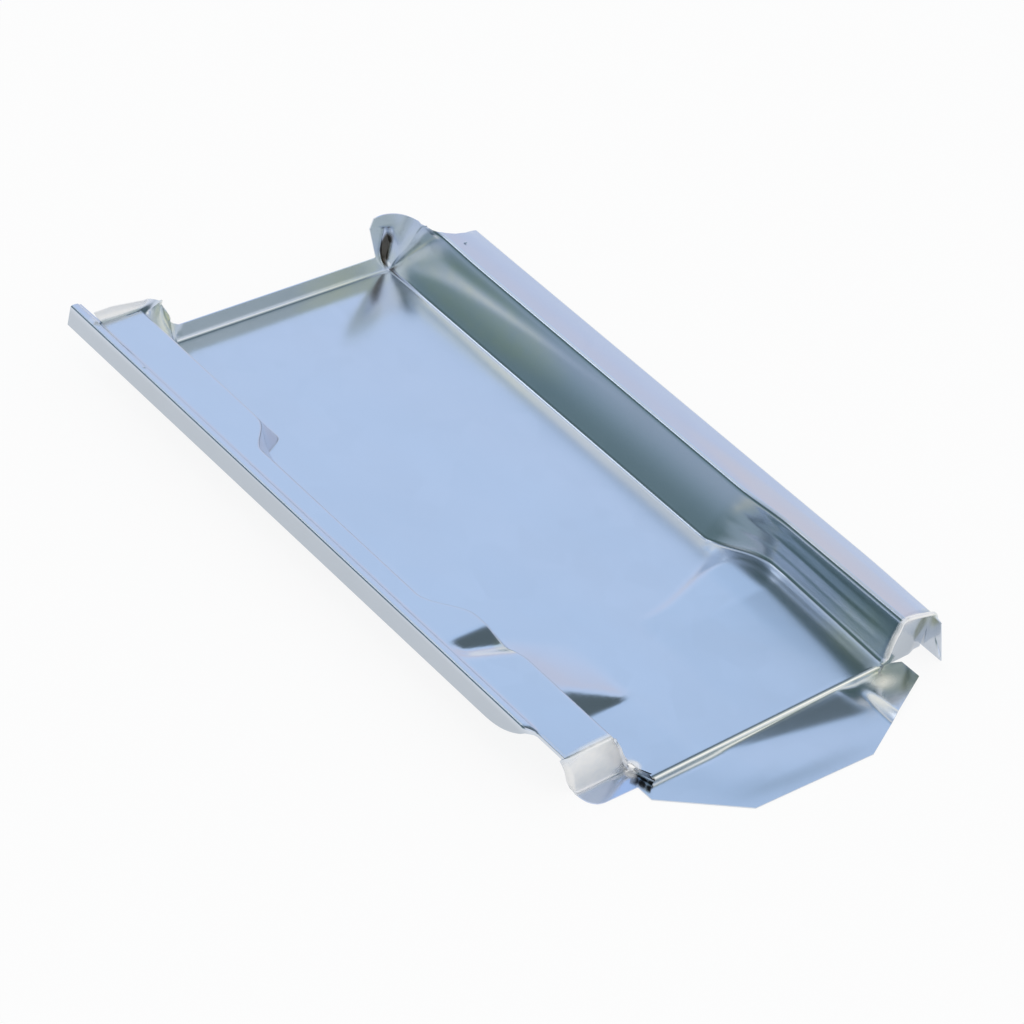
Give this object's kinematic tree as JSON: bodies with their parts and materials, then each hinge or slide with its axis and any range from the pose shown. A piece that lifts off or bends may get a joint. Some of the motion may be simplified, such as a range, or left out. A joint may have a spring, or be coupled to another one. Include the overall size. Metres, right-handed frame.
{
  "type": "metal roofing sheet",
  "caption": "Pressed galvanised steel sheet shaped like an interlocking roof tile: flat pan, raised side lock, cover rib, and a folded foot with an apron.",
  "frame": {"origin": "bottom centre of the sheet's own box, on the level that the apron rests on", "axes": "+Y up the roof slope from the folded foot to the head, +X from the side lock to the cover rib, +Z out of the roof, with the pan's upper face up"},
  "size_m": [0.2894, 0.493, 0.0524],
  "materials": {
    "galvanised_steel": "bright galvanised, smooth with soft streaks"
  },
  "bodies": {
    "root": {"roofing_sheet": "galvanised_steel"}
  },
  "joints": []
}
